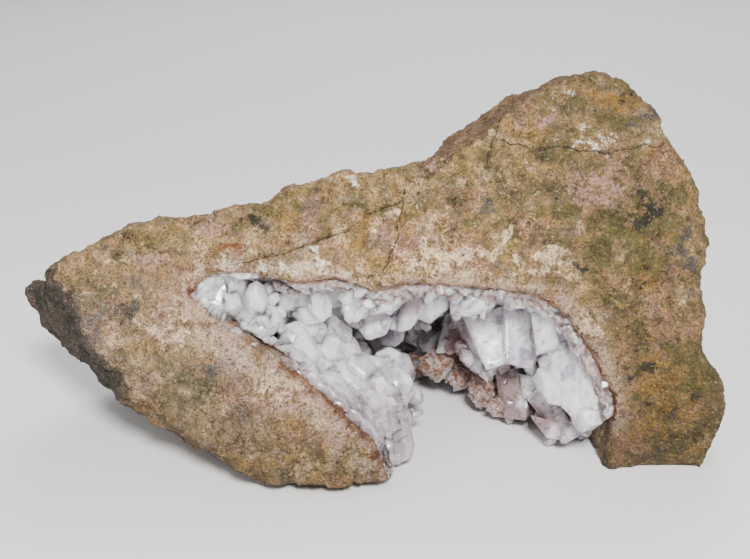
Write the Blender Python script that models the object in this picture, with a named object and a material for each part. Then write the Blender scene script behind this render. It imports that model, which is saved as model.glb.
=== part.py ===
"""A calcite vug specimen: a leaning, wedge-shaped slab of rock that stands on its own broken base, and the crust
of calcite crystals that lines the cavity in its front.

Everything is modelled in millimetres and brought to metres at the end. The slab is drawn in its own frame before
it leans back: u runs across its front face, v up it and w into the rock, with v = w = 0 on the line where the
front face meets the ground. In the finished part +Z is up, the front looks along -Y, and the origin is the centre
of the foot of its box, on the ground.
"""

import math
import random

import bmesh
import bpy
from mathutils import Matrix, Vector, noise
from mathutils.bvhtree import BVHTree
from mathutils.geometry import intersect_line_plane

MM = 0.001
LEAN = math.radians(20)
LEANING = Matrix.Rotation(-LEAN, 4, "X")
DOWN = LEANING.inverted().to_3x3() @ Vector((0, 0, -1))

# --- the slab's dimensions ----------------------------------------------------------------------------------------

SLAB_BACK = 58.0
SEAT_HEIGHT = 1.0  # the broken base is this far above the ground between the pads that it stands on
FRONT_LAYER = 16.0  # how deep the relief of the front face reaches
VOXEL = 1.7
ROCK_TRIANGLES = 2700

# The slab is two blocks grown together. Their outlines seen square to the front, clockwise: (u, v).
WING = [
    (-67.5, 33.5), (-58.5, 36.5), (-51.0, 40.3), (-47.0, 43.3), (-43.5, 45.2), (-33.5, 46.8), (-22.0, 48.8),
    (-16.5, 50.0), (-14.5, 51.8), (-9.0, 53.0), (-6.0, 54.0), (-2.5, 52.8), (1.5, 54.5), (4.5, 55.2),
    (7.0, 55.2), (11.5, 57.5), (30.0, 59.0), (30.0, -1.5), (-1.0, -1.5), (-13.5, -1.5), (-19.0, 2.0),
    (-32.0, 7.5), (-40.5, 11.0), (-49.5, 18.5), (-54.0, 21.5), (-63.0, 29.0),
]
PEAK = [
    (-10.0, 20.0), (-10.0, 43.0), (11.5, 58.0), (14.5, 62.5), (19.5, 67.0), (25.5, 69.0), (31.0, 69.5),
    (37.0, 71.8), (41.5, 71.3), (45.8, 69.0), (48.0, 64.5), (49.0, 59.5), (52.0, 57.5), (55.0, 51.5),
    (57.3, 46.5), (57.5, 40.5), (56.3, 35.5), (56.8, 28.5), (55.8, 22.0), (59.2, 19.0), (61.0, 12.0),
    (58.8, 4.5), (55.5, -1.5), (-10.0, -1.5),
]

# Broken facets of each block: a point of the facet, and the way that it faces, as (u, v, w).
WING_FACETS = [
    ((-50.0, 28.0, 0.5), (-0.76, -0.48, -0.44)),
    ((-30.0, 7.0, 5.0), (-0.42, -0.72, -0.20)),
    ((-25.0, 47.5, 18.0), (-0.20, 0.86, 0.46)),
    ((-50.0, 30.0, 36.0), (-0.55, 0.18, 0.81)),
    ((0.0, 38.0, 53.0), (-0.10, 0.30, 0.95)),
]
PEAK_FACETS = [
    ((13.0, 58.2, 4.0), (-0.57, 0.80, -0.16)),
    ((56.5, 40.0, 1.5), (0.55, 0.10, -0.83)),
    ((20.0, 65.0, 24.0), (0.05, 0.74, 0.67)),
    ((54.0, 30.0, 36.0), (0.66, 0.22, 0.72)),
    ((0.0, 38.0, 53.0), (-0.10, 0.30, 0.95)),
]

# Swells (+) and hollows (-) of the front face: centre (u, v), radii (u, v), height towards the viewer.
FRONT_RELIEF = [
    ((-13.0, 9.0), (19.0, 13.0), 6.0),
    ((-8.0, 43.0), (42.0, 5.0), 1.6),
    ((34.0, 45.0), (17.0, 12.0), 2.4),
    ((52.0, 0.0), (26.0, 20.0), -7.0),
    ((-38.0, 30.0), (9.0, 12.0), -1.2),
]
PEAK_LEDGE_V = 59.5  # the block above this line is set back
PEAK_SETBACK = 1.6

# Pads that the base stands on: (u, w), radius and how far they reach down.
PADS = [((-9.0, 3.0), 9.0, 2.0), ((50.0, 12.0), 9.0, 2.0), ((-26.0, 48.0), 10.0, 2.0), ((30.0, 50.0), 12.0, 2.0)]

# Relief noise of the rock: size of its swells and how far they stand out.
COARSE_NOISE = (13.0, 1.0)
FINE_NOISE = (4.5, 0.5)

# --- the cavity's dimensions --------------------------------------------------------------------------------------

# Its mouth in the front face, clockwise from its left corner: (u, v). It is open at the ground.
MOUTH = [
    (-32.5, 33.0), (-29.0, 36.5), (-21.5, 37.0), (-14.5, 35.0), (-6.5, 36.0), (-1.0, 33.5), (6.0, 35.3),
    (17.5, 34.5), (28.0, 33.0), (33.5, 28.5), (37.3, 22.5), (40.5, 15.5), (41.0, 9.0), (39.5, 2.0),
    (38.0, -9.0), (21.0, -9.0), (4.0, -9.0), (2.6, 2.5), (0.2, 8.5), (-5.0, 14.0), (-11.5, 19.2),
    (-17.5, 22.8), (-24.0, 26.5), (-29.0, 29.5),
]
VUG_CENTRE = (4.0, 20.0)
VUG_END = (8.0, 19.5)
# How the cavity closes in with depth: depth w, then the share of the mouth's reach that is left to the left of
# its centre, to the right of it, and up and down.
VUG_STATIONS = [
    (-26.0, 1.12, 1.12, 1.12), (-12.0, 1.05, 1.05, 1.05), (-4.0, 1.01, 1.01, 1.01), (0.0, 1.0, 1.0, 1.0),
    (5.0, 0.94, 1.0, 1.0), (11.0, 0.86, 0.98, 0.99), (17.0, 0.78, 0.92, 0.96), (23.0, 0.70, 0.78, 0.92),
    (29.0, 0.61, 0.61, 0.88), (35.0, 0.52, 0.43, 0.81), (42.0, 0.38, 0.29, 0.70), (48.0, 0.24, 0.19, 0.52),
]
WALL_NOISE = (7.0, 0.7)

# --- the crust's dimensions ---------------------------------------------------------------------------------------

GAP = 0.3
CRUST_SKIN = 2.4
SKIN_AT_MOUTH = 0.45  # the share of its thickness that the skin has at the mouth
SKIN_RECESS = Vector((0.0, 1.2, 0.5))
CRUST_FOOT = 0.5  # its lower edge's height above the ground
# Beside the right foot the crust ends on this plane: a point of it, and the way that the bare rock lies.
CRUST_END = ((38.5, 10.0, 10.0), (0.62, -0.78, -0.05))
SEED = 41
FILL_CRYSTALS = 95
FILL_SPACING = 3.2
FILL_LENGTHS = (3.0, 7.0)
FILL_WIDTHS = (3.0, 6.5)
FLATNESS = (0.4, 0.85)  # a crystal's thickness as a share of its width
FILL_ROOT = 0.45  # how deep in the skin it is rooted, as a share of the skin
CRUST_TRIANGLES = 6400

# The great crystals of the rim are drawn as they are seen from the front, at this distance from the front face.
VIEWER = Vector((0.0, 35.7, -212.0))

# Each great crystal: the depth of its face in the cavity, its length behind the face, the share of its breadth
# that its bevels take, how steeply the face runs back to the right and upwards, and its outline as seen: (u, v).
GREAT_CRYSTALS = {
    "corner lump": (2.5, 10, 0.35, 0.3, 0.2, [(-30, 33), (-28.5, 36), (-25.5, 37), (-23, 35), (-22.5, 32),
                                              (-24, 30), (-27, 28.8), (-30, 31)]),
    "spear": (4.5, 14, 0.35, 0.2, 0.3, [(-20.5, 36.2), (-18.5, 33.7), (-17.8, 31), (-20, 29), (-22.8, 31.3),
                                        (-22.3, 34)]),
    "below the spear": (3.5, 14, 0.3, 0.1, 0.6, [(-22.5, 32), (-17, 31.5), (-15.3, 28.5), (-17.5, 26.5),
                                                 (-21, 26), (-25, 28)]),
    "long step": (6, 15, 0.3, 0.5, 0.4, [(-16.5, 27.5), (-13.3, 28.7), (-7.5, 24), (-6.3, 21.5), (-9, 19.5),
                                         (-15.5, 24)]),
    "back blade": (8, 16, 0.15, 0.2, 0.4, [(-13.2, 30), (-11.5, 30.7), (-8.3, 28), (-7.3, 25.3), (-10, 25),
                                           (-12.8, 27)]),
    "upper step": (11, 20, 0.25, 0.6, 0.2, [(-8, 28), (-5.8, 28.2), (-3.3, 25.7), (-1.8, 22.5), (-4, 21),
                                            (-7.7, 24)]),
    "middle block": (8, 20, 0.35, 0.3, 0.7, [(-6.7, 22), (-2, 23.2), (1.5, 22.2), (3.2, 18.5), (0, 16),
                                             (-3, 16.5), (-6.2, 19)]),
    "lower block": (7, 20, 0.35, 0.5, 0.4, [(-3, 17.5), (3, 19.2), (4.7, 17), (3.7, 13.3), (1, 11.5),
                                            (-2.8, 13.5)]),
    "small lower block": (3.5, 14, 0.3, 0.2, 0.6, [(-1, 13.5), (3.5, 14.2), (4.2, 10.5), (1.5, 8.7), (-1.2, 10)]),
    "toe": (6, 14, 0.25, 0.3, 0.3, [(1.5, 10.3), (5.5, 12.2), (6.7, 7.5), (6, 5.3), (3.5, 4.2), (1.3, 6.7)]),
    "lip, far left": (0.8, 8, 0.35, 0.4, 0.5, [(-31, 31.8), (-26, 30), (-22.5, 27.7), (-23.5, 25.3), (-29, 28)]),
    "lip, left": (0.8, 8, 0.35, 0.3, 0.7, [(-24, 28), (-19.5, 27), (-16.3, 24.7), (-17.5, 21.7), (-23.5, 24.7)]),
    "lip, middle": (0.6, 9, 0.35, 0.4, 0.4, [(-17, 24.8), (-12, 23.5), (-9, 19.7), (-11, 17.2), (-17.3, 21)]),
    "lip lump": (0.5, 10, 0.35, 0.3, 0.6, [(-10.2, 20.4), (-6.5, 19.9), (-3.1, 15), (-4.3, 12), (-10.7, 16.9)]),
    "lip, right": (0.4, 9, 0.3, 0.5, 0.3, [(-4, 15.2), (-1, 14), (1, 10.3), (-0.5, 7.5), (-4.3, 11.7)]),
    "lip, low": (0.4, 8, 0.3, 0.3, 0.6, [(-0.8, 10.6), (1.5, 10.6), (3.3, 6.3), (3, 1.5), (-0.3, 7)]),
    "ceiling face": (8, 12, 0.2, 0.3, -0.6, [(-16.8, 33), (-11, 36), (-6.5, 37), (-3.8, 35), (-4.3, 31.3),
                                             (-12.5, 29.8), (-16, 30.5)]),
    "ceiling lip": (1.2, 9, 0.3, -0.2, -0.7, [(-18, 37.5), (-12, 37.5), (-11, 34.2), (-13, 32.7), (-17, 34)]),
    "pendant": (6, 6, 0.2, 0.5, 0.1, [(-11.2, 36), (-7.2, 36), (-7.3, 29.5), (-9, 28.3), (-10.7, 30)]),
    "ceiling blade": (2.2, 9, 0.2, 0.1, -0.4, [(-6.2, 37), (7, 36.5), (6.7, 33.5), (4, 30.8), (0.5, 29.7),
                                               (-3.2, 29.8), (-4.8, 31.5)]),
    "stub": (9, 6, 0.25, -0.3, 0.1, [(-2.2, 34), (2.2, 34), (2.1, 28), (0.9, 26.8), (-0.5, 25.9), (-1.6, 26.4)]),
    "behind the stub": (15, 8, 0.25, 0.5, 0.0, [(2.5, 33), (6.5, 33), (7.1, 28.5), (5, 26.8), (2.3, 27.3)]),
    "deep block": (24, 12, 0.3, -0.4, 0.1, [(0.5, 28), (2.5, 29), (5.2, 28), (4.8, 25.4), (3.3, 24.2), (1, 24.8)]),
    "corner blade": (10, 12, 0.15, -0.6, -0.2, [(4.8, 35), (8.7, 35.5), (8.6, 32), (7.9, 30), (6, 27.2),
                                                (3.8, 26.8)]),
    "pink corner": (8, 12, 0.3, -0.2, -0.6, [(8.3, 35.5), (13.2, 35.5), (12.2, 30.5), (9.3, 28.2), (7.3, 29)]),
    "top white": (2.5, 16, 0.2, 0.1, -0.4, [(12.8, 36), (20.7, 36), (20.3, 31), (16.3, 29.3), (12.8, 29.8)]),
    "pink plate": (26, 14, 0.12, -0.4, 0.3, [(12, 29.7), (15.2, 29.7), (15.6, 28), (14.6, 23.2), (10.3, 23.2),
                                             (10.8, 25.5)]),
    "long blade": (20, 18, 0.2, -0.5, 0.4, [(14.3, 27.5), (15.7, 27.7), (19.3, 21.3), (19.1, 18.2), (14.8, 22.2)]),
    "great plate": (14, 20, 0.1, -0.1, 0.3, [(14.8, 29.7), (22, 31.2), (22.3, 26), (22.5, 21.5), (18.9, 20.3),
                                             (16.4, 25.3)]),
    "great plate's twin": (12, 17, 0.15, 0.3, 0.2, [(21.8, 31.2), (26.7, 30.2), (27.7, 23), (26.7, 20.2),
                                                    (22, 21.6)]),
    "brown pillar": (20, 14, 0.2, -0.5, 0.2, [(20.3, 20.7), (24.1, 20.7), (24.7, 17.5), (26.2, 14), (25.6, 11.8),
                                              (21.8, 12.2), (20.8, 17)]),
    "slanting slab": (15, 14, 0.2, -0.5, 0.3, [(24.4, 19.7), (28.1, 19.2), (31.7, 14), (33.2, 11.3), (30, 10.2),
                                               (24.9, 16.3)]),
    "great right crystal": (7, 16, 0.15, -0.3, 0.3, [(27.8, 22), (30.4, 24.7), (32.5, 25.8), (37, 21.7),
                                                     (40.3, 16.3), (40.3, 12.8), (37.5, 11.2), (34.5, 11.2),
                                                     (31.5, 14.2), (28.3, 17.3)]),
    "grey rim": (11, 13, 0.3, -0.2, 0.7, [(26.3, 12.7), (30, 11.5), (34, 12.2), (40, 12.4), (39.4, 9.4),
                                          (34.5, 7.9), (29, 8.9)]),
    "rim wedge": (7, 15, 0.25, 0.4, -0.1, [(26.4, 30.2), (29.2, 30.2), (32.7, 25.7), (30.5, 23.7), (27.4, 22.8)]),
    "rim block": (1.6, 10, 0.3, -0.4, 0.1, [(29, 34), (33.5, 31), (38, 24.5), (36.5, 22), (31, 27.5)]),
    "rim corner": (1.4, 10, 0.3, -0.4, -0.3, [(24.5, 35), (31, 34), (31.5, 30.5), (28.5, 29.7), (25.5, 31.3)]),
    "rim, low": (1.8, 9, 0.3, -0.5, 0.3, [(36.8, 23), (40, 19.5), (43, 13), (40.2, 12), (38, 18)]),
    "top chip": (2, 14, 0.25, -0.1, -0.6, [(20.3, 36), (25.5, 35), (26.8, 30.8), (22.8, 30.8)]),
    "pink stub": (33, 10, 0.25, -0.5, 0.2, [(12.8, 23.7), (15.6, 23.2), (16.7, 19.5), (15.6, 17.2), (13.3, 16.7)]),
}


# --- tools --------------------------------------------------------------------------------------------------------


def slab_vector(u, v, w):
    """A place or a direction of the slab's frame, before the slab leans."""
    return Vector((u, w, v))


def clear_scene():
    for obj in list(bpy.data.objects):
        bpy.data.objects.remove(obj, do_unlink=True)


def material(name, colour, roughness):
    made = bpy.data.materials.new(name)
    made.use_nodes = True
    shader = made.node_tree.nodes["Principled BSDF"]
    shader.inputs["Base Color"].default_value = (*colour, 1.0)
    shader.inputs["Roughness"].default_value = roughness
    made.diffuse_color = (*colour, 1.0)
    return made


def fill_object(obj, bm):
    """Gives the object this bmesh, in triangles, and frees the bmesh."""
    bmesh.ops.triangulate(bm, faces=bm.faces[:])
    bm.to_mesh(obj.data)
    bm.free()


def new_object(name, bm):
    obj = bpy.data.objects.new(name, bpy.data.meshes.new(name))
    bpy.context.scene.collection.objects.link(obj)
    fill_object(obj, bm)
    return obj


def bmesh_of(obj):
    bm = bmesh.new()
    bm.from_mesh(obj.data)
    return bm


def apply_modifiers(obj):
    """Makes what the object's modifiers show its own mesh, in triangles."""
    graph = bpy.context.evaluated_depsgraph_get()
    mesh = bpy.data.meshes.new_from_object(obj.evaluated_get(graph))
    obj.modifiers.clear()
    obj.data = mesh
    fill_object(obj, bmesh_of(obj))


def boolean(obj, operation, other, overlapping=False):
    """Cuts, joins or intersects obj with another object. overlapping says that the other's shells overlap."""
    modifier = obj.modifiers.new(operation.title(), "BOOLEAN")
    modifier.operation = operation
    modifier.object = other
    modifier.solver = "EXACT"
    modifier.use_self = overlapping
    apply_modifiers(obj)


def thin_out(obj, triangles):
    """Collapses edges, those of flat faces first, until about that many triangles are left."""
    decimate = obj.modifiers.new("Thin out", "DECIMATE")
    decimate.ratio = min(triangles / len(obj.data.polygons), 1.0)
    apply_modifiers(obj)


def cut_plane(bm, point, outward):
    """Cuts away what lies beyond a plane and closes the cut."""
    geometry = bm.verts[:] + bm.edges[:] + bm.faces[:]
    cut = bmesh.ops.bisect_plane(bm, geom=geometry, dist=1e-4, plane_co=point, plane_no=outward, clear_outer=True)
    edges = [item for item in cut["geom_cut"] if isinstance(item, bmesh.types.BMEdge)]
    bmesh.ops.edgeloop_fill(bm, edges=edges)
    bmesh.ops.recalc_face_normals(bm, faces=bm.faces[:])


def loft(rings):
    """A closed solid through rings of places, each ring with as many places as the next."""
    bm = bmesh.new()
    loops = [[bm.verts.new(place) for place in ring] for ring in rings]
    bm.faces.new(loops[0])
    bm.faces.new(loops[-1])
    for one, other in zip(loops, loops[1:]):
        for i, j in zip(range(len(one)), [*range(1, len(one)), 0]):
            bm.faces.new((one[i], one[j], other[j], other[i]))
    bmesh.ops.recalc_face_normals(bm, faces=bm.faces[:])
    return bm


def swell(x, y, centre, radii):
    """1 at the centre of a soft round swell, falling to nothing."""
    return math.exp(-(((x - centre[0]) / radii[0]) ** 2) - ((y - centre[1]) / radii[1]) ** 2)


def smoothstep(low, high, x):
    t = min(max((x - low) / (high - low), 0.0), 1.0)
    return t * t * (3 - 2 * t)


def rough_rock(co, size, height):
    """The height of a broken surface at a place: lumps of about that size."""
    return height * noise.fractal(co / size, 0.8, 2.1, 3)


# --- the rock -----------------------------------------------------------------------------------------------------


def slab_block(outline, facets):
    """An outline drawn back through the rock, and broken off at its facets and at the base."""
    bm = loft([[slab_vector(u, v, w) for u, v in outline] for w in (0.0, SLAB_BACK)])
    for point, outward in facets:
        cut_plane(bm, slab_vector(*point), slab_vector(*outward).normalized())
    cut_plane(bm, -DOWN * SEAT_HEIGHT, DOWN)
    return bm


def front_relief(u, v):
    """How far the front face stands out at (u, v)."""
    height = sum(h * swell(u, v, centre, radii) for centre, radii, h in FRONT_RELIEF)
    return height - PEAK_SETBACK * smoothstep(PEAK_LEDGE_V - 0.8, PEAK_LEDGE_V + 0.8, v)


def weather(bm):
    """Gives the slab its relief, and draws the base down to the ground at its pads."""
    for vert in bm.verts:
        u, w, v = vert.co
        vert.co.y -= front_relief(u, v) * smoothstep(FRONT_LAYER, 0.0, w)
    bm.normal_update()
    for vert in bm.verts:
        vert.co += vert.normal * (rough_rock(vert.co, *COARSE_NOISE) + rough_rock(vert.co, *FINE_NOISE))
    for vert in bm.verts:
        height = -vert.co.dot(DOWN)
        u, w, _ = vert.co
        reach = sum(depth * swell(u, w, centre, (radius, radius)) for centre, radius, depth in PADS)
        vert.co += DOWN * reach * smoothstep(7.0, 2.5, height)


def rock_blank():
    """The whole slab, leaning and standing on the ground, before the cavity opens in it."""
    blank = new_object("host_rock", slab_block(WING, WING_FACETS))
    peak = new_object("peak", slab_block(PEAK, PEAK_FACETS))
    boolean(blank, "UNION", peak)
    bpy.data.objects.remove(peak)

    remesh = blank.modifiers.new("Voxels", "REMESH")
    remesh.mode = "VOXEL"
    remesh.voxel_size = VOXEL
    apply_modifiers(blank)

    bm = bmesh_of(blank)
    weather(bm)
    bm.transform(LEANING)
    fill_object(blank, bm)

    thin_out(blank, ROCK_TRIANGLES)

    bm = bmesh_of(blank)
    cut_plane(bm, Vector((0, 0, 0)), Vector((0, 0, -1)))
    fill_object(blank, bm)
    return blank


# --- the cavity ---------------------------------------------------------------------------------------------------


def vug_solid(skin=0.0):
    """The cavity as a solid, from well in front of the rock to its floor, less the skin on its wall."""
    floor = VUG_STATIONS[-1][0]
    rings = []
    for w, left, right, upright in VUG_STATIONS:
        inset = skin * (SKIN_AT_MOUTH + (1 - SKIN_AT_MOUTH) * smoothstep(0.0, 10.0, w))
        centre = Vector(VUG_CENTRE).lerp(Vector(VUG_END), max(w, 0.0) / floor)
        ring = []
        for u, v in MOUTH:
            out = Vector((u, v)) - Vector(VUG_CENTRE)
            out = Vector((out.x * (left if out.x < 0 else right), out.y * upright))
            place = centre + out * (1 - inset / out.length)
            ring.append(slab_vector(place.x, place.y, min(w, floor - inset)))
        rings.append(ring)
    bm = loft(rings)
    bm.normal_update()
    for vert in bm.verts:
        vert.co += vert.normal * rough_rock(vert.co, *WALL_NOISE) * smoothstep(-2, 3, vert.co.y)
    bmesh.ops.triangulate(bm, faces=bm.faces[:])
    return bm


def drawn_in(bm, distance):
    """The same solid with its surface drawn in by a distance."""
    bm.normal_update()
    for vert in bm.verts:
        vert.co -= vert.normal * distance
    return bm


def leaning_object(name, bm):
    bm.transform(LEANING)
    return new_object(name, bm)


# --- the crust ----------------------------------------------------------------------------------------------------


class GreatCrystal:
    """A block with a flat face, drawn as it is seen, that reaches from its face down into the cavity's wall."""

    def __init__(self, rng, w, length, bevel, right, up, outline):
        self.length = length
        self.bevel = bevel
        self.outline = [Vector(corner) for corner in outline]
        self.middle = sum(self.outline, Vector((0.0, 0.0))) / len(outline)
        self.radius = sum((corner - self.middle).length for corner in self.outline) / len(outline)
        self.normal = Vector((-right, 1.0, -up)).normalized()
        mouth = slab_vector(*self.middle, 0.0)
        self.sight = (mouth - slab_vector(*VIEWER)).normalized()
        self.face = mouth + self.sight * w
        turn = rng.uniform(0, math.tau)
        self.slip = Vector((math.cos(turn), math.sin(turn))) * self.radius * bevel * 0.45

    def ring(self, depth, scale, slip=Vector((0.0, 0.0))):
        """The outline at a depth behind the face."""
        eye = slab_vector(*VIEWER)
        plane = self.face + self.sight * depth
        seen = [self.middle + slip + (corner - self.middle) * scale for corner in self.outline]
        return [intersect_line_plane(eye, slab_vector(*place, 0.0), plane, self.normal) for place in seen]

    def solid(self):
        face = self.ring(0.0, 1 - self.bevel, self.slip)
        shoulder = self.ring(self.radius * self.bevel * 0.9, 1.0)
        root = self.ring(self.length, 0.94)
        return loft([face, shoulder, root])

    def is_hidden_by(self, place):
        """Whether something at this place would stand in front of the crystal's face."""
        depth = place.y - VIEWER.z
        u = place.x * -VIEWER.z / depth
        v = VIEWER.y + (place.z - VIEWER.y) * -VIEWER.z / depth
        inside = False
        for a, b in zip(self.outline, [*self.outline[1:], self.outline[0]]):
            if (a.y > v) != (b.y > v) and u < a.x + (b.x - a.x) * (v - a.y) / (b.y - a.y):
                inside = not inside
        return inside and (place - self.face).dot(self.normal) < 0.5


def crystal(rng, root, depth, axis):
    """The rings of a six-sided tablet that grows from the skin and ends in a small slanting face."""
    length = rng.uniform(*FILL_LENGTHS)
    width = rng.uniform(*FILL_WIDTHS)
    thickness = width * rng.uniform(*FLATNESS)
    turned = axis.to_track_quat("Z", "Y").to_matrix() @ Matrix.Rotation(rng.uniform(0, math.tau), 3, "Z")
    lean = Vector((rng.uniform(-0.3, 0.3) * width, rng.uniform(-0.3, 0.3) * thickness, 0.0))
    tip_slope = rng.uniform(-0.5, 0.5)
    rings = []
    for height, scale in ((-depth, 0.35), (length * 0.72, 1.0), (length, rng.uniform(0.25, 0.6))):
        ring = []
        for i in range(6):
            angle = math.tau * (i + 0.5) / 6
            corner = Vector((math.cos(angle) * width / 2, math.sin(angle) * thickness / 1.74, 0.0)) * scale
            corner += lean * max(height, 0.0) / length
            corner.z = height + tip_slope * corner.x * (height > 0)
            ring.append(root + turned @ corner)
        rings.append(ring)
    return rings


def fill_crystals(tree, greats):
    """Crystals all over the skin, where they do not hide the great ones. Each is given as its rings."""
    rng = random.Random(SEED)
    surface = drawn_in(vug_solid(CRUST_SKIN), GAP)
    surface.normal_update()
    faces = [face for face in surface.faces if face.calc_center_median().y > 1.0]
    weights = [face.calc_area() * (0.5 + math.exp(-face.calc_center_median().y / 12)) for face in faces]
    roots, grown = [], []
    for _ in range(9000):
        if len(grown) == FILL_CRYSTALS:
            break
        face = rng.choices(faces, weights)[0]
        a, b, c = (vert.co for vert in face.verts)
        s, t = sorted((rng.random(), rng.random()))
        root = a * s + b * (t - s) + c * (1 - t)
        if any((root - other).length < FILL_SPACING for other in roots):
            continue
        wander = Vector((rng.uniform(-1, 1), rng.uniform(-1, 1), rng.uniform(-1, 1)))
        axis = (wander * 0.5 - face.normal + Vector((0.0, -0.35, 0.0))).normalized()
        rings = crystal(rng, root, tree.find_nearest(root)[3] * FILL_ROOT, axis)
        places = [place for ring in rings for place in ring]
        if any(-place.dot(DOWN) < CRUST_FOOT + 0.6 for place in places):
            continue
        if any(great.is_hidden_by(place) for great in greats for place in rings[1] + rings[2]):
            continue
        if any((place - near[0]).dot(near[1]) > -0.1 for place in places for near in [tree.find_nearest(place)]):
            continue
        roots.append(root)
        grown.append(rings)
    surface.free()
    return grown


def bodies_of(bm):
    """The vertices of each separate body, the largest last."""
    left = set(bm.verts)
    bodies = []
    while left:
        body, front = [], [left.pop()]
        while front:
            vert = front.pop()
            body.append(vert)
            near = {edge.other_vert(vert) for edge in vert.link_edges} & left
            front += near
            left -= near
        bodies.append(body)
    return sorted(bodies, key=len)


def keep_largest(obj):
    """Keeps the largest body and fills the pockets sealed inside it."""
    bm = bmesh_of(obj)
    others = bodies_of(bm)[:-1]
    print(obj.name, "loose bodies and pockets dropped, in vertices:", [len(body) for body in others])
    bmesh.ops.delete(bm, geom=[vert for body in others for vert in body])
    fill_object(obj, bm)


def end_crust(bm):
    """Ends a solid where the crust ends beside the right foot."""
    point, outward = CRUST_END
    cut_plane(bm, slab_vector(*point), slab_vector(*outward).normalized())


def skin_object(blank, wall):
    """The skin of the crust: the outermost layer of the cavity, inside the rock's own outline."""
    end_crust(wall)
    skin = leaning_object("calcite_crust", wall)
    hollow = leaning_object("crust_hollow", drawn_in(vug_solid(CRUST_SKIN), GAP))
    inside = new_object("crust_inside", bmesh_of(blank))
    inside.data.transform(Matrix.Translation(SKIN_RECESS))
    boolean(skin, "INTERSECT", inside)
    boolean(skin, "DIFFERENCE", hollow)
    bpy.data.objects.remove(hollow)
    bpy.data.objects.remove(inside)
    return skin


def calcite_crust(blank):
    """The crust: a skin on the cavity's wall with the crystals that stand on it, all grown together."""
    wall = drawn_in(vug_solid(), GAP)
    tree = BVHTree.FromBMesh(wall)
    rng = random.Random(SEED)
    greats = [GreatCrystal(rng, *row) for row in GREAT_CRYSTALS.values()]
    fill = fill_crystals(tree, greats)
    crust = skin_object(blank, wall)

    space = drawn_in(vug_solid(), GAP + CRUST_SKIN * 0.3)
    end_crust(space)
    space.transform(LEANING)
    cut_plane(space, Vector((0, 0, CRUST_FOOT)), Vector((0, 0, -1)))
    room = new_object("crust_room", space)

    crystals = bmesh.new()
    for great in greats:
        block = leaning_object("great_crystal", great.solid())
        boolean(block, "INTERSECT", room)
        crystals.from_mesh(block.data)
        bpy.data.objects.remove(block)
    for rings in fill:
        block = leaning_object("fill_crystal", loft(rings))
        crystals.from_mesh(block.data)
        bpy.data.objects.remove(block)
    grown = new_object("crust_crystals", crystals)
    boolean(crust, "UNION", grown, overlapping=True)
    bpy.data.objects.remove(grown)
    bpy.data.objects.remove(room)
    keep_largest(crust)
    thin_out(crust, CRUST_TRIANGLES)
    print("great crystals", len(greats), "fill crystals", len(fill))
    return crust


# --- the whole ----------------------------------------------------------------------------------------------------


def finish(objects):
    """Brings the objects to metres, with the origin at the centre of the foot of their box."""
    places = [vert.co for obj in objects for vert in obj.data.vertices]
    low = Vector([min(place[axis] for place in places) for axis in range(3)])
    high = Vector([max(place[axis] for place in places) for axis in range(3)])
    foot = Vector(((low.x + high.x) / 2, (low.y + high.y) / 2, low.z))
    for obj in objects:
        obj.data.transform(Matrix.Scale(MM, 4) @ Matrix.Translation(-foot))
        print(obj.name, "triangles", len(obj.data.polygons))
    print("size mm", [round(x, 1) for x in high - low], "foot at", [round(x, 2) for x in foot])


def main():
    clear_scene()
    rock = rock_blank()
    crust = calcite_crust(rock)
    opening = leaning_object("vug_cutter", vug_solid())
    boolean(rock, "DIFFERENCE", opening)
    bpy.data.objects.remove(opening)
    rock.data.materials.clear()
    rock.data.materials.append(material("host rock", (0.52, 0.40, 0.28), 0.85))
    crust.data.materials.clear()
    crust.data.materials.append(material("calcite", (0.86, 0.86, 0.88), 0.2))
    finish([rock, crust])


main()
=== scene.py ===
# %% [markdown]
# # A calcite specimen, step by step
#
# The real thing is a wedge of rock that was broken out of a cliff. It leans back on its broken base, and in
# its lower front a hollow is open, which mineral collectors call a vug. Water that seeped through the rock
# left a crust of milky calcite crystals on the hollow's wall.
#
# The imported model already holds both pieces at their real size. This script gives them their fine surface:
# grains, ledges and cracks as mesh, and the colours of weathered stone and of cloudy crystal as procedural
# materials.

# %% Load the frame
import math
import random

import bmesh
import bpy
import numpy as np
from mathutils import Matrix, Vector, noise
from mathutils.bvhtree import BVHTree


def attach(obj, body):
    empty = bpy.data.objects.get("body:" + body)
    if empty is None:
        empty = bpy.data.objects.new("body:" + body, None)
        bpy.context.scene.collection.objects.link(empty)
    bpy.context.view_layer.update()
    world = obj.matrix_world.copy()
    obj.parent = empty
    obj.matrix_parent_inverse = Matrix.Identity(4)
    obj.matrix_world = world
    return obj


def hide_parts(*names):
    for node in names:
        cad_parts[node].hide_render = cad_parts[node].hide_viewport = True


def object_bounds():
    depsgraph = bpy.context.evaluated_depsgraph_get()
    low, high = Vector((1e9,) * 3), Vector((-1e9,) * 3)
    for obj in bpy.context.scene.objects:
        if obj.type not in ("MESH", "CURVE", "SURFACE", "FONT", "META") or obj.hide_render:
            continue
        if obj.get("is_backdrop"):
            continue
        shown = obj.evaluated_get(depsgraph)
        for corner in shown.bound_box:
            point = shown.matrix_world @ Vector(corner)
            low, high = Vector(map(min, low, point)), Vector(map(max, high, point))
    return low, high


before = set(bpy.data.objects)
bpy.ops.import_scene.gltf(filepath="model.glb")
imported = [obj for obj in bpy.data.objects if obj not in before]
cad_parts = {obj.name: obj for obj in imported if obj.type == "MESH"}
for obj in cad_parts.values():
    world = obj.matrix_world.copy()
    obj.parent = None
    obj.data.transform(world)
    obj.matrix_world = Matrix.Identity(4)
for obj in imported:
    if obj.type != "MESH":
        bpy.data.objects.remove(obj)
cad_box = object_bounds()
print("nodes:", sorted(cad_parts))

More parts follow.
